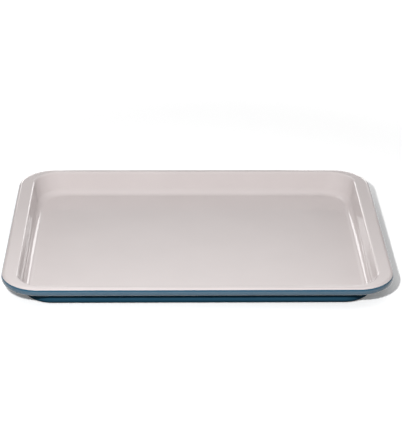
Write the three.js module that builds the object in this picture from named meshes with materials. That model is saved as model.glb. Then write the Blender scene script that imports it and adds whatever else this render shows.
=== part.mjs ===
// Half sheet pan: a tray pressed from one sheet of steel, with a flat rim all round. The edge of the rim is
// turned down and rolled under round a wire, and the rim is wider at the two ends, where the pan is
// carried. A pale ceramic coat covers the inside and the top of the rim, and a dark coat covers the
// outside.
//
// Millimetres, +Z up. The origin is on the underside, below the middle of the floor. X runs along the pan's
// length and Y from front to back.
//
// Every surface of the pan is a stack of rounded rectangles. They follow one section through the sheet:
// floor, wall, lip, flat rim, edge and roll. Three outlines carry that section: the floor's, the opening's
// and the outer edge's. The wall joins the first two. The flat rim joins the last two, so it can be wider
// at the ends than at the sides.
import * as THREE from "three";

// Overall sizes, over the coats
const panLength = 457;
const panWidth = 330;
const panHeight = 29;

// Sheet and coats
const sheetThickness = 0.9;
const coatThickness = 0.06;

// Corners in plan: of the outer edge, of the opening at the start of the lip, and of the flat floor
const rimCornerRadius = 46;
const openingCornerRadius = 35;
const floorCornerRadius = 27;

// Bends in the section, each measured on the inside of its bend
const floorBendRadius = 10;
const lipBendRadius = 2;
const edgeBendRadius = 3.5;

// Wall: how far it leans out from upright, at the ends and along the sides
const endWallDraft = THREE.MathUtils.degToRad(11.5);
const sideWallDraft = THREE.MathUtils.degToRad(14);

// Turned-down edge: how far its skirt leans in from upright, its straight height, and where the coats meet
// on it
const skirtLean = THREE.MathUtils.degToRad(6);
const skirtHeight = 1.8;
const coatEdgeTurn = THREE.MathUtils.degToRad(50);

// Rolled edge: the wire, the room round it, the slit left where the roll closes, and the gap between the
// wire's ends
const wireDiameter = 4;
const wireClearance = 0.3;
const rollSlit = 0.3;
const wireEndGap = 1;

// Clear width under the flat rim, from the roll to the start of the lip
const endChannelWidth = 10.4;
const frontChannelWidth = 0.5;

// Steps used to draw each round stretch
const cornerSteps = 8;
const floorBendSteps = 4;
const lipSteps = 3;
const crownSteps = 3;
const edgeSteps = 1;
const rollSteps = 6;
const wireSides = 8;

// Depths of the other faces below the finished upper face of the sheet
const steelTop = coatThickness;
const steelUnder = steelTop + sheetThickness;
const outsideFace = steelUnder + coatThickness;

// Directions that the upper face looks in, within the section: into the pan is 0, up is a quarter turn,
// away from the pan is half a turn, and the roll carries on through down and back to into the pan
const up = Math.PI / 2;
const outwards = Math.PI;
const skirtFacing = outwards + skirtLean;
const rolledBack = 2 * Math.PI;

// Radii of the finished upper face at the bends
const lipRadius = lipBendRadius + outsideFace;
const edgeRadius = edgeBendRadius + steelUnder;
const rollRadius = wireDiameter / 2 + wireClearance + steelUnder;

// Centres of the bends: insets are from the outer edge for the edge and the roll, from the lip's start for
// the lip, and from the edge of the flat floor for the floor bend
const edgeCentre = { inset: edgeRadius, z: panHeight - edgeRadius };
const rollOffset = rollRadius - edgeRadius + skirtHeight * Math.sin(skirtLean);
const rollCentre = {
  inset: edgeCentre.inset + rollOffset / Math.cos(skirtLean),
  z: edgeCentre.z - skirtHeight,
};
const lipCentre = { inset: 0, z: panHeight - lipRadius };
const floorCentre = { inset: 0, z: outsideFace + floorBendRadius };

// How far the flat floor ends inside the lip's start, under a wall of a given draft
function floorInset(draft) {
  const wallDrop = lipCentre.z - floorCentre.z;
  return (lipRadius + floorBendRadius + wallDrop * Math.sin(draft)) / Math.cos(draft);
}

// The three outlines that carry the section
const rollWidth = rollCentre.inset + rollRadius;
const outerEdge = { halfLength: panLength / 2, halfWidth: panWidth / 2, cornerRadius: rimCornerRadius };
const opening = {
  halfLength: outerEdge.halfLength - rollWidth - endChannelWidth,
  halfWidth: outerEdge.halfWidth - rollWidth - frontChannelWidth,
  cornerRadius: openingCornerRadius,
};
const flatFloor = {
  halfLength: opening.halfLength - floorInset(endWallDraft),
  halfWidth: opening.halfWidth - floorInset(sideWallDraft),
  cornerRadius: floorCornerRadius,
};

// Corners in order, counter-clockwise from the middle of the back: the side each is on along X and along Y,
// and the quarter turns that its arc starts from
const corners = [[-1, 1, 1], [-1, -1, 2], [1, -1, 3], [1, 1, 4]];

// Rounded rectangle inside an outline
function outlineRing(outline, inset, z) {
  const radius = outline.cornerRadius - inset;
  const centreX = outline.halfLength - outline.cornerRadius;
  const centreY = outline.halfWidth - outline.cornerRadius;
  const ring = [];
  for (const [sideX, sideY, start] of corners) {
    for (let step = 0; step <= cornerSteps; step++) {
      const turn = (start + step / cornerSteps) * (Math.PI / 2);
      const x = sideX * centreX + radius * Math.cos(turn);
      const y = sideY * centreY + radius * Math.sin(turn);
      ring.push(new THREE.Vector3(x, y, z));
    }
  }
  return ring;
}

// Places along a bend of the finished upper face. The face looks away from the centre of an outer bend, and
// towards the centre of an inner bend, whose radius is given as negative.
function bend(outline, centre, radius, fromFacing, toFacing, steps) {
  const places = [];
  for (let step = 0; step <= steps; step++) {
    const facing = fromFacing + ((toFacing - fromFacing) * step) / steps;
    const inset = centre.inset + radius * Math.cos(facing);
    const z = centre.z + radius * Math.sin(facing);
    places.push({ outline, inset, z, facing });
  }
  return places;
}

// Rings along a list of places, at a depth below the finished upper face
function ringsAtDepth(places, depth) {
  return places.map(({ outline, inset, z, facing }) =>
    outlineRing(outline, inset - depth * Math.cos(facing), z - depth * Math.sin(facing)),
  );
}

// The section, from the floor to the lip's start, over the crown of the edge to where the coats meet, and
// from there down the skirt and round the roll. The floor bend and the lip meet the wall at its mean draft.
const wallDraft = (endWallDraft + sideWallDraft) / 2;
const floorToLip = [
  ...bend(flatFloor, floorCentre, -floorBendRadius, up, wallDraft, floorBendSteps),
  ...bend(opening, lipCentre, lipRadius, wallDraft, up, lipSteps),
];
const coatEdge = up + coatEdgeTurn;
const crown = bend(outerEdge, edgeCentre, edgeRadius, up, coatEdge, crownSteps);
const skirtAndRoll = [
  ...bend(outerEdge, edgeCentre, edgeRadius, coatEdge, outwards, edgeSteps),
  ...bend(outerEdge, rollCentre, rollRadius, skirtFacing, rolledBack, rollSteps),
];
const rollEnd = {
  outline: outerEdge,
  inset: rollWidth,
  z: panHeight - steelUnder - rollSlit,
  facing: rolledBack,
};

// Indexed geometry from points and corner triples
function geometryFrom(points, triangles) {
  const geometry = new THREE.BufferGeometry().setFromPoints(points);
  geometry.setIndex(triangles.flat());
  geometry.computeVertexNormals();
  return geometry;
}

// Two triangles that join neighbouring points of two rings
function quad(near, far, here, next) {
  return [[near + here, far + here, far + next], [near + here, far + next, near + next]];
}

// Tray-shaped body: rings from the flat floor outwards over one face and back under the other, and a flat
// cap over the first and the last ring
function trayGeometry(rings) {
  const count = rings[0].length;
  const points = rings.flat();
  const triangles = [];
  for (let ring = 0; ring + 1 < rings.length; ring++) {
    for (let i = 0; i < count; i++) {
      triangles.push(...quad(ring * count, (ring + 1) * count, i, (i + 1) % count));
    }
  }
  const last = (rings.length - 1) * count;
  const topCentre = points.push(new THREE.Vector3(0, 0, rings[0][0].z)) - 1;
  const bottomCentre = points.push(new THREE.Vector3(0, 0, rings.at(-1)[0].z)) - 1;
  for (let i = 0; i < count; i++) {
    const next = (i + 1) % count;
    triangles.push([topCentre, i, next], [bottomCentre, last + next, last + i]);
  }
  return geometryFrom(points, triangles);
}

// Rod bent round the rim, with flat ends either side of a gap in the middle of the back
function rodGeometry(outline, centre, diameter, endGap, sides) {
  const points = [];
  for (let side = 0; side < sides; side++) {
    const turn = (side / sides) * 2 * Math.PI;
    const inset = centre.inset + (diameter / 2) * Math.cos(turn);
    const z = centre.z + (diameter / 2) * Math.sin(turn);
    const backY = outline.halfWidth - inset;
    const ring = outlineRing(outline, inset, z);
    points.push(new THREE.Vector3(-endGap / 2, backY, z), ...ring, new THREE.Vector3(endGap / 2, backY, z));
  }
  const count = points.length / sides;
  const triangles = [];
  for (let side = 0; side < sides; side++) {
    const near = side * count;
    const far = ((side + 1) % sides) * count;
    for (let i = 0; i + 1 < count; i++) {
      triangles.push(...quad(near, far, i, i + 1));
    }
  }
  for (let side = 1; side + 1 < sides; side++) {
    const near = side * count;
    const far = near + count;
    triangles.push([0, far, near], [count - 1, near + count - 1, far + count - 1]);
  }
  return geometryFrom(points, triangles);
}

// Steel shell: its upper face as far as the end of the roll, then back along its under face
function panShell() {
  const section = [...floorToLip, ...crown, ...skirtAndRoll.slice(1), rollEnd];
  return trayGeometry([...ringsAtDepth(section, steelTop), ...ringsAtDepth(section, steelUnder).reverse()]);
}

// Pale coat: from the floor to its edge on the crown of the turned-down edge
function interiorCoating() {
  const section = [...floorToLip, ...crown];
  return trayGeometry([...ringsAtDepth(section, 0), ...ringsAtDepth(section, steelTop).reverse()]);
}

// Dark coat: under the floor, up the outside of the wall, under the rim, across the slit and over the roll
function exteriorCoating() {
  const cornerOnSteel = outlineRing(outerEdge, rollWidth - steelTop, panHeight - steelUnder);
  const cornerOutside = outlineRing(outerEdge, rollWidth, panHeight - outsideFace);
  const onSteel = [
    ...ringsAtDepth(floorToLip, steelUnder),
    cornerOnSteel,
    ...ringsAtDepth(skirtAndRoll, steelTop).reverse(),
  ];
  const outside = [
    ...ringsAtDepth(skirtAndRoll, 0),
    cornerOutside,
    ...ringsAtDepth(floorToLip, outsideFace).reverse(),
  ];
  return trayGeometry([...onSteel, ...outside]);
}

// Wire inside the roll
function rimWire() {
  return rodGeometry(outerEdge, rollCentre, wireDiameter, wireEndGap, wireSides);
}

const sheetSteel = new THREE.MeshStandardMaterial({ color: 0xb4b6b8, roughness: 0.4, metalness: 1 });
const drawnWire = new THREE.MeshStandardMaterial({ color: 0xa6a9ab, roughness: 0.35, metalness: 1 });
const paleCeramic = new THREE.MeshStandardMaterial({ color: 0xd8cfcd, roughness: 0.25, metalness: 0 });
const darkEnamel = new THREE.MeshStandardMaterial({ color: 0x2f5a76, roughness: 0.25, metalness: 0 });

function namedMesh(name, geometry, material) {
  const mesh = new THREE.Mesh(geometry, material);
  mesh.name = name;
  return mesh;
}

const pan = new THREE.Group();
pan.add(namedMesh("pan_shell", panShell(), sheetSteel));
pan.add(namedMesh("rim_wire", rimWire(), drawnWire));
pan.add(namedMesh("interior_coating", interiorCoating(), paleCeramic));
pan.add(namedMesh("exterior_coating", exteriorCoating(), darkEnamel));

export default pan;
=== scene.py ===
# %% [markdown]
# # A half sheet pan
# A half sheet pan is a shallow tray pressed from one sheet of steel. The floor turns up into a sloping
# wall, the wall turns out into a flat rim, and the edge of the rim is turned down and rolled under round a
# wire. A pale ceramic coat covers the inside and the top of the rim, and a dark one covers the outside.
#
# The construction model gives the pieces at their real size. This lesson gives each of them a finer surface
# and a finish, in the same place, and lights them on a pale table. All lengths are in metres.

# %% Load the construction model
import math
from collections import namedtuple

import bpy
from mathutils import Matrix, Vector


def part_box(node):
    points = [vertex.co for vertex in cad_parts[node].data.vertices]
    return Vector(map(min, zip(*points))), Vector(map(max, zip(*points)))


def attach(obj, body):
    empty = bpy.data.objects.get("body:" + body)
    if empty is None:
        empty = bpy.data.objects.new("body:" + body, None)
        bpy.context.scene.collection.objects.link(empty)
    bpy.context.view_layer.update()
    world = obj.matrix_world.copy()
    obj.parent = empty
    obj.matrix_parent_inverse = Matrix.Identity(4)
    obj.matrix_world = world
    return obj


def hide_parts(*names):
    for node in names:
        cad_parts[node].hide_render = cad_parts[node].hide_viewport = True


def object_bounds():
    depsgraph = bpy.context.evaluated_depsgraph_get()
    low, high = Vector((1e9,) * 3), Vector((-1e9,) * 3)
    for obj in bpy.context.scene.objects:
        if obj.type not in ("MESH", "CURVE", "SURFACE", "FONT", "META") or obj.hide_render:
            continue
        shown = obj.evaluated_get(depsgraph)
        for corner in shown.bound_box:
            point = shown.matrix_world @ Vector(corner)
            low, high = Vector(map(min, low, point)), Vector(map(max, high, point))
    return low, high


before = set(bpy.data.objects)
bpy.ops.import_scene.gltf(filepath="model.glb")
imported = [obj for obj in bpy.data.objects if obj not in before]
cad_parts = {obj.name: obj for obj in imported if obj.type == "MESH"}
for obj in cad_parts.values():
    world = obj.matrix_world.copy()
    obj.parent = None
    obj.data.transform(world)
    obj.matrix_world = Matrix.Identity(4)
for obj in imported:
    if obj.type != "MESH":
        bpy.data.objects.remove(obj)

MM = 0.001
construction_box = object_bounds()
box_low, box_high = construction_box
PAN_LENGTH, PAN_WIDTH, PAN_HEIGHT = box_high - box_low
print(f"construction model: {PAN_LENGTH / MM:.1f} x {PAN_WIDTH / MM:.1f} x {PAN_HEIGHT / MM:.1f} mm")

# %% [markdown]
# ## Camera
# The camera comes first, because every later choice is judged through it. A long lens from about 1.9 m away
# gives the nearly parallel sides of a catalogue picture. Its place was solved from the outline of the rim:
# a rounded rectangle of known size fits the picture's edges from one place only. Blender fits its 36 mm
# sensor to the longer side of the image, so a focal length in pixels becomes millimetres through the image
# height.

# %% Camera
IMAGE_HEIGHT_PIXELS = 431
FOCAL_LENGTH_PIXELS = 1530.8
CAMERA_PLACE = Vector((-34.6, -1689.0, 872.7)) * MM
CAMERA_LOOKS_DOWN = math.radians(26.2)
CAMERA_TURN = math.radians(-1.371)
CAMERA_TILT = math.radians(0.526)

camera_data = bpy.data.cameras.new("long_lens")
camera_data.lens = FOCAL_LENGTH_PIXELS / IMAGE_HEIGHT_PIXELS * camera_data.sensor_width
camera = bpy.data.objects.new("long_lens", camera_data)
bpy.context.scene.collection.objects.link(camera)
camera.matrix_world = (
    Matrix.Translation(CAMERA_PLACE)
    @ Matrix.Rotation(CAMERA_TURN, 4, "Z")
    @ Matrix.Rotation(math.radians(90) - CAMERA_LOOKS_DOWN, 4, "X")
    @ Matrix.Rotation(CAMERA_TILT, 4, "Z")
)
bpy.context.scene.camera = camera
print(f"camera: {camera_data.lens:.1f} mm lens, {CAMERA_PLACE.length:.2f} m from the pan")

# %% [markdown]
# ## One section for the whole pan
# A press forms the pan from one flat sheet, so a single section through the sheet describes all of it. The
# section is a row of places, and each place knows how far it lies inside an outline, its height, and which
# way the sheet's upper face looks there. Three outlines carry it: the flat floor's for the bend round the
# floor, the opening's for the lip, and the outer edge's for the turned-down edge and the roll. The wall
# joins the first two, and the flat rim joins the last two.
#
# The rolled edge is read from the wire that it goes round, so it always closes on the construction model's
# wire. A bend gets a guard place just before and just after it. Without them, smooth shading would bend the
# look of the flats.

# %% Sizes of the sheet and its bends
SHEET_THICKNESS = 0.9 * MM
COAT_THICKNESS = 0.06 * MM
RIM_CORNER_RADIUS = 46 * MM
OPENING_CORNER_RADIUS = 35 * MM
FLOOR_CORNER_RADIUS = 27 * MM
FLOOR_BEND_RADIUS = 10 * MM
LIP_BEND_RADIUS = 2 * MM
EDGE_BEND_RADIUS = 3.5 * MM
END_WALL_DRAFT = math.radians(11.5)
SIDE_WALL_DRAFT = math.radians(14)
SKIRT_LEAN = math.radians(6)
COAT_EDGE_TURN = math.radians(50)
WIRE_CLEARANCE = 0.3 * MM
ROLL_SLIT = 0.3 * MM
END_CHANNEL_WIDTH = 10.4 * MM
FRONT_CHANNEL_WIDTH = 0.5 * MM

# Depths of the other faces below the finished upper face
STEEL_TOP = COAT_THICKNESS
STEEL_UNDER = STEEL_TOP + SHEET_THICKNESS
OUTSIDE_FACE = STEEL_UNDER + COAT_THICKNESS

wire_low, wire_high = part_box("rim_wire")
WIRE_DIAMETER = wire_high.z - wire_low.z
WIRE_CENTRE_INSET = wire_low.x - box_low.x + WIRE_DIAMETER / 2
WIRE_CENTRE_HEIGHT = (wire_low.z + wire_high.z) / 2
print(f"wire: {WIRE_DIAMETER / MM:.1f} mm, {WIRE_CENTRE_INSET / MM:.2f} mm inside the edge")

# %% Places along the section
Place = namedtuple("Place", "outline inset height facing")

# Which outline carries a place, and which way the upper face looks: 0 is into the pan
FLOOR, OPENING, RIM = 0.0, 1.0, 2.0
UP = math.radians(90)
OUTWARDS = math.radians(180)
ROLLED_BACK = math.radians(360)
FLAT_GUARD = 0.4 * MM


def shifted(place, along=0.0, depth=0.0):
    """A place moved along the sheet, or down into it."""
    sine, cosine = math.sin(place.facing), math.cos(place.facing)
    return place._replace(
        inset=place.inset - along * sine - depth * cosine,
        height=place.height + along * cosine - depth * sine,
    )


def bend(outline, centre, radius, from_facing, to_facing, steps, guards=(True, True)):
    """Places along a bend of the upper face, whose radius is negative where the bend is hollow."""
    places = []
    for step in range(steps + 1):
        facing = from_facing + (to_facing - from_facing) * step / steps
        inset = centre[0] + radius * math.cos(facing)
        height = centre[1] + radius * math.sin(facing)
        places.append(Place(outline, inset, height, facing))
    before = [shifted(places[0], along=-FLAT_GUARD)] if guards[0] else []
    after = [shifted(places[-1], along=FLAT_GUARD)] if guards[1] else []
    return before + places + after


def at_depth(places, depth):
    """The same stretch of the section on a parallel face."""
    return [shifted(place, depth=depth) for place in places]


# %% The section, from the floor to the end of the roll
lip_radius = LIP_BEND_RADIUS + OUTSIDE_FACE
edge_radius = EDGE_BEND_RADIUS + STEEL_UNDER
roll_radius = WIRE_DIAMETER / 2 + WIRE_CLEARANCE + STEEL_UNDER
lip_centre = (0.0, PAN_HEIGHT - lip_radius)
edge_centre = (edge_radius, PAN_HEIGHT - edge_radius)
roll_centre = (WIRE_CENTRE_INSET, WIRE_CENTRE_HEIGHT)
floor_centre = (0.0, OUTSIDE_FACE + FLOOR_BEND_RADIUS)
wall_facing = (END_WALL_DRAFT + SIDE_WALL_DRAFT) / 2
coat_edge = UP + COAT_EDGE_TURN
skirt_facing = OUTWARDS + SKIRT_LEAN

floor_to_lip = [
    *bend(FLOOR, floor_centre, -FLOOR_BEND_RADIUS, UP, wall_facing, steps=14),
    *bend(OPENING, lip_centre, lip_radius, wall_facing, UP, steps=10),
]
crown = bend(RIM, edge_centre, edge_radius, UP, coat_edge, steps=8, guards=(True, False))
skirt_and_roll = [
    *bend(RIM, edge_centre, edge_radius, coat_edge, skirt_facing, steps=5, guards=(False, True)),
    *bend(RIM, roll_centre, roll_radius, skirt_facing, ROLLED_BACK, steps=20),
]
roll_width = roll_centre[0] + roll_radius
roll_end = Place(RIM, roll_width, PAN_HEIGHT - STEEL_UNDER - ROLL_SLIT, ROLLED_BACK)
roll_corner = Place(RIM, roll_width, PAN_HEIGHT, ROLLED_BACK)
print(f"section: {len(floor_to_lip) + len(crown) + len(skirt_and_roll)} places on the upper face")

# %% [markdown]
# ## Sweeping the section round the rim
# The steel and its two coats all follow that section, so one Geometry Nodes tree makes all three. It lays
# out a grid with a row for each place of the section and a column for each step round the pan, and then
# moves every point to its place. A plain Curve to Mesh sweep would be shorter, but it gives every corner
# and side the same width of rim, and this pan's rim is wider at the ends, where it is carried. Giving each
# row its own outline keeps the rim flat while its width changes.
#
# The places reach the tree as loose points: X holds the inset, Y says which outline carries it, and Z the
# height. A second number, the spread, draws the first and last rows together in the middle of the floor,
# which closes the body.

# %% A function that adds a node
def add_node(tree, kind, inputs=None, output=0, **settings):
    """Adds a node, sets its properties, links or sets its inputs, and returns one of its outputs."""
    node = tree.nodes.new(kind)
    for name, value in settings.items():
        setattr(node, name, value)
    for name, value in (inputs or {}).items():
        if isinstance(value, bpy.types.NodeSocket):
            tree.links.new(value, node.inputs[name])
        else:
            node.inputs[name].default_value = value
    return node.outputs[output] if node.outputs else None


# %% The tree that sweeps a section
SHARP_EDGE_ANGLE = math.radians(40)
WELD_DISTANCE = 0.005 * MM
QUARTER_TURN = math.radians(90)
MATH, VECTOR_MATH = "ShaderNodeMath", "ShaderNodeVectorMath"
COMBINE, SEPARATE = "ShaderNodeCombineXYZ", "ShaderNodeSeparateXYZ"

sweep = bpy.data.node_groups.new("sweep_section_round_rim", "GeometryNodeTree")
for name, kind in (
    ("Section", "NodeSocketGeometry"),
    ("Floor length", "NodeSocketFloat"),
    ("Floor width", "NodeSocketFloat"),
    ("Floor corner radius", "NodeSocketFloat"),
    ("Opening length", "NodeSocketFloat"),
    ("Opening width", "NodeSocketFloat"),
    ("Opening corner radius", "NodeSocketFloat"),
    ("Rim length", "NodeSocketFloat"),
    ("Rim width", "NodeSocketFloat"),
    ("Rim corner radius", "NodeSocketFloat"),
    ("Corner steps", "NodeSocketInt"),
    ("Side steps", "NodeSocketInt"),
    ("Finish", "NodeSocketMaterial"),
):
    sweep.interface.new_socket(name, in_out="INPUT", socket_type=kind)
sweep.interface.new_socket("Body", in_out="OUTPUT", socket_type="NodeSocketGeometry")
given = sweep.nodes.new("NodeGroupInput").outputs

# A row for each place of the section, and a column for each step round the pan
section_only = {"Geometry": given["Section"]}
rows = add_node(sweep, "GeometryNodeAttributeDomainSize", section_only, output="Point Count")
corner_steps, side_steps = given["Corner steps"], given["Side steps"]
steps_a_side = add_node(sweep, MATH, {0: corner_steps, 1: side_steps}, operation="ADD")
columns = add_node(sweep, MATH, {0: steps_a_side, 1: 4.0, 2: 1.0}, operation="MULTIPLY_ADD")
grid = add_node(sweep, "GeometryNodeMeshGrid", {"Vertices X": rows, "Vertices Y": columns})
index = add_node(sweep, "GeometryNodeInputIndex")
index_in_rows = add_node(sweep, MATH, {0: index, 1: columns}, operation="DIVIDE")
row = add_node(sweep, MATH, {0: index_in_rows}, operation="FLOOR")
column = add_node(sweep, MATH, {0: index, 1: columns}, operation="MODULO")

# How far round the pan a column is: the corner, the share of its arc, and the share of the side after it
column_in_sides = add_node(sweep, MATH, {0: column, 1: steps_a_side}, operation="DIVIDE")
corner = add_node(sweep, MATH, {0: column_in_sides}, operation="FLOOR")
step = add_node(sweep, MATH, {0: column, 1: steps_a_side}, operation="MODULO")
arc_share = add_node(sweep, MATH, {0: step, 1: corner_steps}, operation="DIVIDE", use_clamp=True)
steps_past_arc = add_node(sweep, MATH, {0: step, 1: corner_steps}, operation="SUBTRACT")
side_share = add_node(sweep, MATH, {0: steps_past_arc, 1: side_steps}, operation="DIVIDE", use_clamp=True)

# The corner's own direction, the next one's, and the way that the outline faces
next_corner = add_node(sweep, MATH, {0: corner, 1: 1.0}, operation="ADD")
quarters_round = add_node(sweep, MATH, {0: corner, 1: arc_share}, operation="ADD")
turned = []
for start, quarters in (
    ((1.0, 1.0, 0.0), corner),
    ((1.0, 1.0, 0.0), next_corner),
    ((1.0, 0.0, 0.0), quarters_round),
):
    angle = add_node(sweep, MATH, {0: quarters, 1: QUARTER_TURN}, operation="MULTIPLY")
    spin = {0: start, "Angle": angle}
    turned.append(add_node(sweep, "ShaderNodeVectorRotate", spin, rotation_type="Z_AXIS"))
this_corner_way, next_corner_way, outward = turned
corner_ways = {"Factor": side_share, 4: this_corner_way, 5: next_corner_way}
corner_way = add_node(sweep, "ShaderNodeMix", corner_ways, output=1, data_type="VECTOR")

# The place of the section that a row follows
position = add_node(sweep, "GeometryNodeInputPosition")
place_of_row = {"Geometry": given["Section"], "Value": position, "Index": row}
place = add_node(sweep, "GeometryNodeSampleIndex", place_of_row, data_type="FLOAT_VECTOR")
named_spread = add_node(sweep, "GeometryNodeInputNamedAttribute", {"Name": "spread"}, data_type="FLOAT")
spread_of_row = {"Geometry": given["Section"], "Value": named_spread, "Index": row}
spread = add_node(sweep, "GeometryNodeSampleIndex", spread_of_row, data_type="FLOAT")
inset, outline_number, height = add_node(sweep, SEPARATE, {0: place}).node.outputs

# The outline that carries it: length, width and corner diameter of the one with that number, halved
outlines = {}
for number, name in enumerate(("Floor", "Opening", "Rim"), start=1):
    diameter = add_node(sweep, MATH, {0: given[f"{name} corner radius"], 1: 2.0}, operation="MULTIPLY")
    outline_sizes = {0: given[f"{name} length"], 1: given[f"{name} width"], 2: diameter}
    outlines[number] = add_node(sweep, COMBINE, outline_sizes)
choice = add_node(sweep, "GeometryNodeIndexSwitch", data_type="VECTOR").node
choice.index_switch_items.new()
sweep.links.new(outline_number, choice.inputs["Index"])
for number, outline_of_number in outlines.items():
    sweep.links.new(outline_of_number, choice.inputs[number])
halves = {0: choice.outputs[0], 1: (0.5, 0.5, 0.5)}
half_outline = add_node(sweep, VECTOR_MATH, halves, operation="MULTIPLY")
half_length, half_width, corner_radius = add_node(sweep, SEPARATE, {0: half_outline}).node.outputs

# Corner centre, then out from it by the radius that the inset leaves
centre_x = add_node(sweep, MATH, {0: half_length, 1: corner_radius}, operation="SUBTRACT")
centre_y = add_node(sweep, MATH, {0: half_width, 1: corner_radius}, operation="SUBTRACT")
centre = add_node(sweep, COMBINE, {0: centre_x, 1: centre_y})
to_centre = add_node(sweep, VECTOR_MATH, {0: corner_way, 1: centre}, operation="MULTIPLY")
reach = add_node(sweep, MATH, {0: corner_radius, 1: inset}, operation="SUBTRACT")
to_outline = add_node(sweep, VECTOR_MATH, {0: outward, "Scale": reach}, operation="SCALE")
from_middle = add_node(sweep, VECTOR_MATH, {0: to_centre, 1: to_outline}, operation="ADD")
spread_out = add_node(sweep, VECTOR_MATH, {0: from_middle, "Scale": spread}, operation="SCALE")
lift = add_node(sweep, COMBINE, {2: height})
point = add_node(sweep, VECTOR_MATH, {0: spread_out, 1: lift}, operation="ADD")

# Move, weld, shade smooth except across sharp edges, and give the finish
moved = add_node(sweep, "GeometryNodeSetPosition", {"Geometry": grid, "Position": point})
welded = add_node(sweep, "GeometryNodeMergeByDistance", {"Geometry": moved, "Distance": WELD_DISTANCE})
smooth = add_node(sweep, "GeometryNodeSetShadeSmooth", {"Geometry": welded}, domain="FACE")
edge_angle = add_node(sweep, "GeometryNodeInputMeshEdgeAngle")
soft = add_node(sweep, MATH, {0: edge_angle, 1: SHARP_EDGE_ANGLE}, operation="LESS_THAN")
crisp_edges = {"Geometry": smooth, "Shade Smooth": soft}
crisp = add_node(sweep, "GeometryNodeSetShadeSmooth", crisp_edges, domain="EDGE")
realized = add_node(sweep, "GeometryNodeRealizeInstances", {"Geometry": crisp})
finished = add_node(sweep, "GeometryNodeSetMaterial", {"Geometry": realized, "Material": given["Finish"]})
add_node(sweep, "NodeGroupOutput", {"Body": finished})
print(f"sweep tree: {len(sweep.nodes)} nodes")

# %% [markdown]
# ## Finishes
# The coats are sprayed and then baked until they flow out to a glossy, glass-like skin. Close up, such a
# skin has a faint orange peel, and its shade drifts a little where more or less of it landed. The steel
# shows only on a cut through the pan, and keeps the streaks that it got from rolling or drawing. The dark
# coat is left dull on the walls and underneath, and is glossy on the rolled edge alone.

# %% Colours and pattern sizes
NOISE = "ShaderNodeTexNoise"


def linear(hex_colour):
    """An sRGB hex colour as the linear RGBA that Blender's sockets take."""
    channels = [int(hex_colour[i : i + 2], 16) / 255 for i in (1, 3, 5)]
    return [c / 12.92 if c <= 0.04045 else ((c + 0.055) / 1.055) ** 2.4 for c in channels] + [1.0]


def per_metre(size):
    """The texture scale at which one feature of a noise is as large as the given size."""
    return 1.0 / size


def new_finish(name):
    """An empty material with its node tree."""
    material = bpy.data.materials.new(name)
    material.use_nodes = True
    material.node_tree.nodes.clear()
    return material, material.node_tree


def sprayed_ceramic(name, colours, roughness_range, specular, dull_below):
    """Glossy baked-on coat, dull below a height: cloudy shade, orange peel, and slightly uneven gloss."""
    material, tree = new_finish(name)
    where = add_node(tree, "ShaderNodeTexCoord", output="Object")

    height = add_node(tree, SEPARATE, {0: where}, output="Z")
    glossy_above = dull_below + 1 * MM
    shine_range = {"Value": height, "From Min": dull_below, "From Max": glossy_above, "To Max": specular}
    shine = add_node(tree, "ShaderNodeMapRange", shine_range)

    cloud_size = 60 * MM
    clouds = add_node(tree, NOISE, {"Vector": where, "Scale": per_metre(cloud_size), "Detail": 3.0})
    thin_colour, thick_colour = (linear(colour) for colour in colours)
    shades = {"Factor": clouds, 6: thin_colour, 7: thick_colour}
    shade = add_node(tree, "ShaderNodeMix", shades, output=2, data_type="RGBA")

    gloss_size = 18 * MM
    gloss = add_node(tree, NOISE, {"Vector": where, "Scale": per_metre(gloss_size), "Detail": 2.0})
    low, high = roughness_range
    roughness = add_node(tree, "ShaderNodeMapRange", {"Value": gloss, "To Min": low, "To Max": high})

    peel_size, peel_height = 1.6 * MM, 0.001 * MM
    peel = add_node(tree, NOISE, {"Vector": where, "Scale": per_metre(peel_size), "Detail": 1.0})
    uneven = add_node(tree, "ShaderNodeBump", {"Height": peel, "Distance": peel_height, "Strength": 1.0})

    coat = {"Base Color": shade, "Roughness": roughness, "Specular IOR Level": shine, "Normal": uneven}
    shader = add_node(tree, "ShaderNodeBsdfPrincipled", coat)
    add_node(tree, "ShaderNodeOutputMaterial", {"Surface": shader})
    return material


def streaked_steel(name, colours, roughness_range, streak_width, streak_length):
    """Bare steel with the fine streaks that rolls or a drawing die leave along it."""
    material, tree = new_finish(name)
    where = add_node(tree, "ShaderNodeTexCoord", output="Object")
    stretch = (per_metre(streak_length), per_metre(streak_width), per_metre(streak_width))
    stretched = add_node(tree, "ShaderNodeMapping", {"Vector": where, "Scale": stretch})
    streaks = add_node(tree, NOISE, {"Vector": stretched, "Scale": 1.0, "Detail": 4.0})
    dark_colour, light_colour = (linear(colour) for colour in colours)
    shades = {"Factor": streaks, 6: dark_colour, 7: light_colour}
    shade = add_node(tree, "ShaderNodeMix", shades, output=2, data_type="RGBA")
    low, high = roughness_range
    roughness = add_node(tree, "ShaderNodeMapRange", {"Value": streaks, "To Min": low, "To Max": high})
    steel = {"Base Color": shade, "Roughness": roughness, "Metallic": 1.0}
    shader = add_node(tree, "ShaderNodeBsdfPrincipled", steel)
    add_node(tree, "ShaderNodeOutputMaterial", {"Surface": shader})
    return material


# %% The four finishes
# Pale sol-gel ceramic: warm grey, glossy enough to mirror lamps along the bends
NOWHERE_DULL = -1 * MM
pale_colours = ("#c1b9b8", "#c7bfbe")
pale_ceramic = sprayed_ceramic("pale_ceramic_coat", pale_colours, (0.07, 0.1), 0.5, NOWHERE_DULL)
# Dark sol-gel ceramic: deep teal blue, which mirrors the table along the rolled edge and is dull below it
BELOW_ROLL = 17 * MM
dark_colours = ("#274e64", "#2c5268")
dark_ceramic = sprayed_ceramic("dark_teal_ceramic_coat", dark_colours, (0.11, 0.15), 0.75, BELOW_ROLL)
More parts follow.
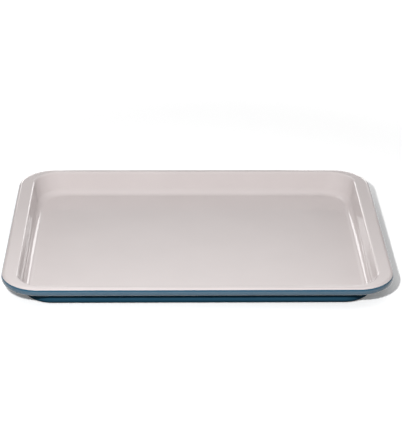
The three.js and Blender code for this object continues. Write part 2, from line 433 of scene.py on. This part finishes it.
# Cold-rolled sheet: soft grey with streaks along the rolling direction
rolled_steel = streaked_steel("cold_rolled_steel", ("#a9abad", "#bfc1c3"), (0.3, 0.42), 0.4 * MM, 40 * MM)
# Drawn wire: darker grey with finer streaks
drawn_steel = streaked_steel("drawn_steel_wire", ("#9b9ea0", "#b1b4b6"), (0.28, 0.4), 0.25 * MM, 25 * MM)
finishes = (pale_ceramic, dark_ceramic, rolled_steel, drawn_steel)
print("finishes:", ", ".join(finish.name for finish in finishes))

# %% [markdown]
# ## The steel and its coats
# Each body is the section on two parallel faces: out along the first, and back along the second. The coats
# lie face to face on the steel, so all three share the same places.

# %% Build a body from its rows
CORNER_STEPS = 28
SIDE_STEPS = 8
FLOOR_RINGS = (0.0, 0.35, 0.7)
OPENING_LENGTH = PAN_LENGTH - 2 * (roll_width + END_CHANNEL_WIDTH)
OPENING_WIDTH = PAN_WIDTH - 2 * (roll_width + FRONT_CHANNEL_WIDTH)


def floor_inset(draft):
    """How far the flat floor ends inside the lip's start, under a wall of a given draft."""
    wall_drop = lip_centre[1] - floor_centre[1]
    return (lip_radius + FLOOR_BEND_RADIUS + wall_drop * math.sin(draft)) / math.cos(draft)


sweep_sizes = {
    "Floor length": OPENING_LENGTH - 2 * floor_inset(END_WALL_DRAFT),
    "Floor width": OPENING_WIDTH - 2 * floor_inset(SIDE_WALL_DRAFT),
    "Floor corner radius": FLOOR_CORNER_RADIUS,
    "Opening length": OPENING_LENGTH,
    "Opening width": OPENING_WIDTH,
    "Opening corner radius": OPENING_CORNER_RADIUS,
    "Rim length": PAN_LENGTH,
    "Rim width": PAN_WIDTH,
    "Rim corner radius": RIM_CORNER_RADIUS,
    "Corner steps": CORNER_STEPS,
    "Side steps": SIDE_STEPS,
}


def set_inputs(modifier, values):
    """Sets a Geometry Nodes modifier's inputs, each through its socket's identifier."""
    for socket in modifier.node_group.interface.items_tree:
        if socket.name in values:
            modifier[socket.identifier] = values[socket.name]


def plain_piece(name, source):
    """A new object with the plain mesh that the source's modifier makes. The source is removed."""
    evaluated = source.evaluated_get(bpy.context.evaluated_depsgraph_get())
    mesh = bpy.data.meshes.new_from_object(evaluated)
    mesh.name = name
    bpy.data.objects.remove(source)
    piece = bpy.data.objects.new(name, mesh)
    bpy.context.scene.collection.objects.link(piece)
    print(f"{name}: {len(mesh.polygons)} faces")
    return piece


def swept_body(name, places, finish):
    """A closed body whose rows follow the places, drawn together in the middle at both ends."""
    rows_of_body = [(places[0], ring) for ring in FLOOR_RINGS]
    rows_of_body += [(place, 1.0) for place in places]
    rows_of_body += [(places[-1], ring) for ring in reversed(FLOOR_RINGS)]
    section = bpy.data.meshes.new(f"{name}_section")
    section.from_pydata([(p.inset, p.outline, p.height) for p, ring in rows_of_body], [], [])
    spread_values = section.attributes.new("spread", "FLOAT", "POINT")
    spread_values.data.foreach_set("value", [ring for p, ring in rows_of_body])
    source = bpy.data.objects.new(f"{name}_section", section)
    bpy.context.scene.collection.objects.link(source)
    modifier = source.modifiers.new("sweep", "NODES")
    modifier.node_group = sweep
    set_inputs(modifier, {**sweep_sizes, "Finish": finish})
    return plain_piece(name, source)


# %% The three swept bodies
whole_section = floor_to_lip + crown + skirt_and_roll[1:] + [roll_end]
shell = swept_body(
    "steel_tray",
    at_depth(whole_section, STEEL_TOP) + at_depth(whole_section, STEEL_UNDER)[::-1],
    rolled_steel,
)

inside_section = floor_to_lip + crown
inside_coat = swept_body(
    "inside_coat",
    inside_section + at_depth(inside_section, STEEL_TOP)[::-1],
    pale_ceramic,
)

corner_on_steel = roll_corner._replace(inset=roll_width - STEEL_TOP, height=PAN_HEIGHT - STEEL_UNDER)
corner_outside = roll_corner._replace(height=PAN_HEIGHT - OUTSIDE_FACE)
outside_coat = swept_body(
    "outside_coat",
    at_depth(floor_to_lip, STEEL_UNDER)
    + [corner_on_steel]
    + at_depth(skirt_and_roll, STEEL_TOP)[::-1]
    + skirt_and_roll
    + [corner_outside]
    + at_depth(floor_to_lip, OUTSIDE_FACE)[::-1],
    dark_ceramic,
)

# %% [markdown]
# ## The rim wire
# A round wire stiffens the edge. It is bent to the rim's outline, and its two ends meet behind the middle
# of the back, with a small gap. It follows a path, so a tree of its own sweeps a circle along the path and
# closes both ends.

# %% The tree that makes a rod
rod = bpy.data.node_groups.new("round_rod_along_path", "GeometryNodeTree")
for name, kind in (
    ("Path", "NodeSocketGeometry"),
    ("Diameter", "NodeSocketFloat"),
    ("Sides", "NodeSocketInt"),
    ("Finish", "NodeSocketMaterial"),
):
    rod.interface.new_socket(name, in_out="INPUT", socket_type=kind)
rod.interface.new_socket("Body", in_out="OUTPUT", socket_type="NodeSocketGeometry")
rod_given = rod.nodes.new("NodeGroupInput").outputs
radius = add_node(rod, MATH, {0: rod_given["Diameter"], 1: 0.5}, operation="MULTIPLY")
circle_sizes = {"Resolution": rod_given["Sides"], "Radius": radius}
circle = add_node(rod, "GeometryNodeCurvePrimitiveCircle", circle_sizes)
tube_parts = {"Curve": rod_given["Path"], "Profile Curve": circle, "Fill Caps": True}
tube = add_node(rod, "GeometryNodeCurveToMesh", tube_parts)
rod_smooth = add_node(rod, "GeometryNodeSetShadeSmooth", {"Geometry": tube}, domain="FACE")
rod_realized = add_node(rod, "GeometryNodeRealizeInstances", {"Geometry": rod_smooth})
rod_with_finish = {"Geometry": rod_realized, "Material": rod_given["Finish"]}
rod_finished = add_node(rod, "GeometryNodeSetMaterial", rod_with_finish)
add_node(rod, "NodeGroupOutput", {"Body": rod_finished})

# %% The wire
WIRE_END_GAP = 1 * MM
WIRE_SIDES = 24


def rim_path(inset, height, end_gap):
    """Points along the rim's outline, counter-clockwise from one side of a gap in the back to the other."""
    radius = RIM_CORNER_RADIUS - inset
    centre_x = PAN_LENGTH / 2 - RIM_CORNER_RADIUS
    centre_y = PAN_WIDTH / 2 - RIM_CORNER_RADIUS
    back = PAN_WIDTH / 2 - inset
    points = [Vector((-end_gap / 2, back, height))]
    for corner in range(1, 5):
        middle = (corner + 0.5) * QUARTER_TURN
        side_x = math.copysign(1, math.cos(middle))
        side_y = math.copysign(1, math.sin(middle))
        for step in range(CORNER_STEPS + 1):
            turn = (corner + step / CORNER_STEPS) * QUARTER_TURN
            x = side_x * centre_x + radius * math.cos(turn)
            y = side_y * centre_y + radius * math.sin(turn)
            points.append(Vector((x, y, height)))
    points.append(Vector((end_gap / 2, back, height)))
    return points


wire_points = rim_path(WIRE_CENTRE_INSET, WIRE_CENTRE_HEIGHT, WIRE_END_GAP)
path_data = bpy.data.curves.new("wire_path", "CURVE")
path_data.dimensions = "3D"
spline = path_data.splines.new("POLY")
spline.points.add(len(wire_points) - 1)
for spline_point, wire_point in zip(spline.points, wire_points):
    spline_point.co = (*wire_point, 1.0)
path = bpy.data.objects.new("wire_path", path_data)
bpy.context.scene.collection.objects.link(path)
path_modifier = path.modifiers.new("rod", "NODES")
path_modifier.node_group = rod
set_inputs(path_modifier, {"Diameter": WIRE_DIAMETER, "Sides": WIRE_SIDES, "Finish": drawn_steel})
wire = plain_piece("wire_in_roll", path)

# %% [markdown]
# ## Each piece takes the place of its part
# Nothing on the pan moves, so every piece rides on the one body of the construction model.

# %% Bodies and replaced parts
for piece, node, slot in (
    (shell, "pan_shell", "sheet_steel"),
    (inside_coat, "interior_coating", "interior_ceramic"),
    (outside_coat, "exterior_coating", "exterior_ceramic"),
    (wire, "rim_wire", "wire_steel"),
):
    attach(piece, "root")
    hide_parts(node)

# %% [markdown]
# ## Table and backdrop
# The picture's background is plain white, with the pan's own shadow on it. A nearly white table does both.
# Where the camera or a mirror-like surface sees the table it is paper white, with a little painted glow,
# light that the table gives off itself and that grows away from the pan, as where a table runs up into a
# lit backdrop. The light that it throws up under the pan is weaker, as from a small sheet of paper on a
# darker table.
#
# The glossy floor and the flat rim mirror what stands behind the pan. There a backdrop carries a soft oval
# of light, which is why the floor gets paler towards the front and towards the middle.

# %% Table
TABLE_REACH = 4.0
TABLE_DROP = 0.1 * MM
# Painted light: how strongly the table glows by itself near the pan and far from it, and where the glow
# grows
GLOW_NEAR, GLOW_FAR = 0.14, 0.8
GLOW_STARTS, GLOW_ENDS = 0.4, 1.0


def flat_sheet(name, corners, finish):
    """A four-cornered sheet of the setting, which belongs to no body of the pan."""
    mesh = bpy.data.meshes.new(name)
    mesh.from_pydata(corners, [], [(0, 1, 2, 3)])
    mesh.materials.append(finish)
    sheet = bpy.data.objects.new(name, mesh)
    bpy.context.scene.collection.objects.link(sheet)


white_paper, tree = new_finish("white_paper")
ray = add_node(tree, "ShaderNodeLightPath").node.outputs
seen = add_node(tree, MATH, {0: ray["Is Camera Ray"], 1: ray["Is Glossy Ray"]}, operation="ADD")
seen_too = {0: seen, 1: ray["Is Transmission Ray"]}
seen_or_through = add_node(tree, MATH, seen_too, operation="ADD", use_clamp=True)
tones = {"Factor": seen_or_through, 6: linear("#606060"), 7: linear("#fafafa")}
tone = add_node(tree, "ShaderNodeMix", tones, output=2, data_type="RGBA")
paper = add_node(tree, "ShaderNodeBsdfDiffuse", {"Color": tone})
where = add_node(tree, "ShaderNodeTexCoord", output="Object")
distance = add_node(tree, VECTOR_MATH, {0: where}, output="Value", operation="LENGTH")
glow_range = {"From Min": GLOW_STARTS, "From Max": GLOW_ENDS, "To Min": GLOW_NEAR, "To Max": GLOW_FAR}
glow_by_distance = {"Value": distance, **glow_range}
glow = add_node(tree, "ShaderNodeMapRange", glow_by_distance, interpolation_type="SMOOTHSTEP")
seen_glow = add_node(tree, MATH, {0: seen_or_through, 1: glow}, operation="MULTIPLY")
# Painted light: the table glows by itself, faintly near the pan and brighter further away
painted_table_glow = add_node(tree, "ShaderNodeEmission", {"Strength": seen_glow})
both = add_node(tree, "ShaderNodeAddShader", {0: paper, 1: painted_table_glow})
add_node(tree, "ShaderNodeOutputMaterial", {"Surface": both})
ends = (-TABLE_REACH, TABLE_REACH)
table_corners = [(ends[i], ends[j], -TABLE_DROP) for i, j in ((0, 0), (1, 0), (1, 1), (0, 1))]
flat_sheet("table", table_corners, white_paper)

# %% Backdrop
BACKDROP_PLACE = 2.2
BACKDROP_HALF_WIDTH = 1.1
BACKDROP_LOW, BACKDROP_HIGH = 0.9, 1.6
OVAL_CENTRE = (0.01, BACKDROP_PLACE, 2.2)
OVAL_RADII = (1.28, 1.0, 1.37)
OVAL_PEAK, OVAL_LIMIT = 4.1, 1.6

lit_backdrop, tree = new_finish("lit_backdrop")
where = add_node(tree, "ShaderNodeTexCoord", output="Object")
oval_space = {"Vector": where, "Location": OVAL_CENTRE, "Scale": OVAL_RADII}
oval = add_node(tree, "ShaderNodeMapping", oval_space, vector_type="TEXTURE")
fade = add_node(tree, "ShaderNodeTexGradient", {"Vector": oval}, output="Fac", gradient_type="SPHERICAL")
fade_limit = {"Value": fade, "From Max": OVAL_LIMIT / OVAL_PEAK, "To Max": OVAL_LIMIT}
oval_light = add_node(tree, "ShaderNodeMapRange", fade_limit)
backdrop_glow = add_node(tree, "ShaderNodeEmission", {"Strength": oval_light})
add_node(tree, "ShaderNodeOutputMaterial", {"Surface": backdrop_glow})
sides = (-BACKDROP_HALF_WIDTH, BACKDROP_HALF_WIDTH)
levels = (BACKDROP_LOW, BACKDROP_HIGH)
backdrop_corners = [(sides[i], BACKDROP_PLACE, levels[j]) for i, j in ((0, 0), (1, 0), (1, 1), (0, 1))]
flat_sheet("backdrop", backdrop_corners, lit_backdrop)

# %% [markdown]
# ## Light
# A small key light stands in front on the left and throws the crisp shadow on the right. It is meant to
# carry a polarising filter, so the glossy coats do not mirror it. A broad ceiling and a panel at each side
# fill the inside of the pan, and a dim, even surround lifts the shadows. Two panels behind draw the bright
# lines along the bends at either end, and a third, higher on the left, draws the line along the lip at the
# back.

# %% Lights
def panel_light(name, place, aim, width, height, watts):
    """A rectangular soft light that looks from its place at a point."""
    data = bpy.data.lights.new(name, "AREA")
    data.shape = "RECTANGLE"
    data.size = width
    data.size_y = height
    data.energy = watts
    light = bpy.data.objects.new(name, data)
    bpy.context.scene.collection.objects.link(light)
    way = Vector(aim) - Vector(place)
    light.matrix_world = Matrix.Translation(place) @ way.to_track_quat("-Z", "Y").to_matrix().to_4x4()
    return light


MIDDLE = (0.0, 0.0, 0.02)
UNDER_CEILING = (0.0, -0.1, 0.0)
SURROUND_STRENGTH = 0.2
key = panel_light("key", (-0.246, -1.212, 0.869), MIDDLE, width=0.06, height=0.06, watts=24.0)
# The filter: no mirror image of the key
key.visible_glossy = False
panel_light("ceiling", (0.0, -0.1, 1.7), UNDER_CEILING, width=2.6, height=1.8, watts=6.5)
panel_light("left_fill", (-1.9, 0.0, 0.9), MIDDLE, width=2.0, height=1.0, watts=1.5)
panel_light("right_fill", (1.9, 0.0, 0.9), MIDDLE, width=2.0, height=1.0, watts=5.0)
panel_light("behind_left", (-0.58, 2.1, 0.5), MIDDLE, width=0.56, height=0.75, watts=5.0)
panel_light("behind_right", (0.58, 2.1, 0.5), MIDDLE, width=0.56, height=0.75, watts=5.0)
panel_light("behind_high", (-0.32, 1.2, 1.3), MIDDLE, width=0.55, height=0.5, watts=2.5)

world = bpy.data.worlds.new("studio")
bpy.context.scene.world = world
world.use_nodes = True
world.node_tree.nodes.clear()
surround = {"Color": linear("#ffffff"), "Strength": SURROUND_STRENGTH}
sky = add_node(world.node_tree, "ShaderNodeBackground", surround)
add_node(world.node_tree, "ShaderNodeOutputWorld", {"Surface": sky})
bpy.context.scene.view_settings.view_transform = "Standard"
print("lights:", ", ".join(light.name for light in bpy.data.lights))
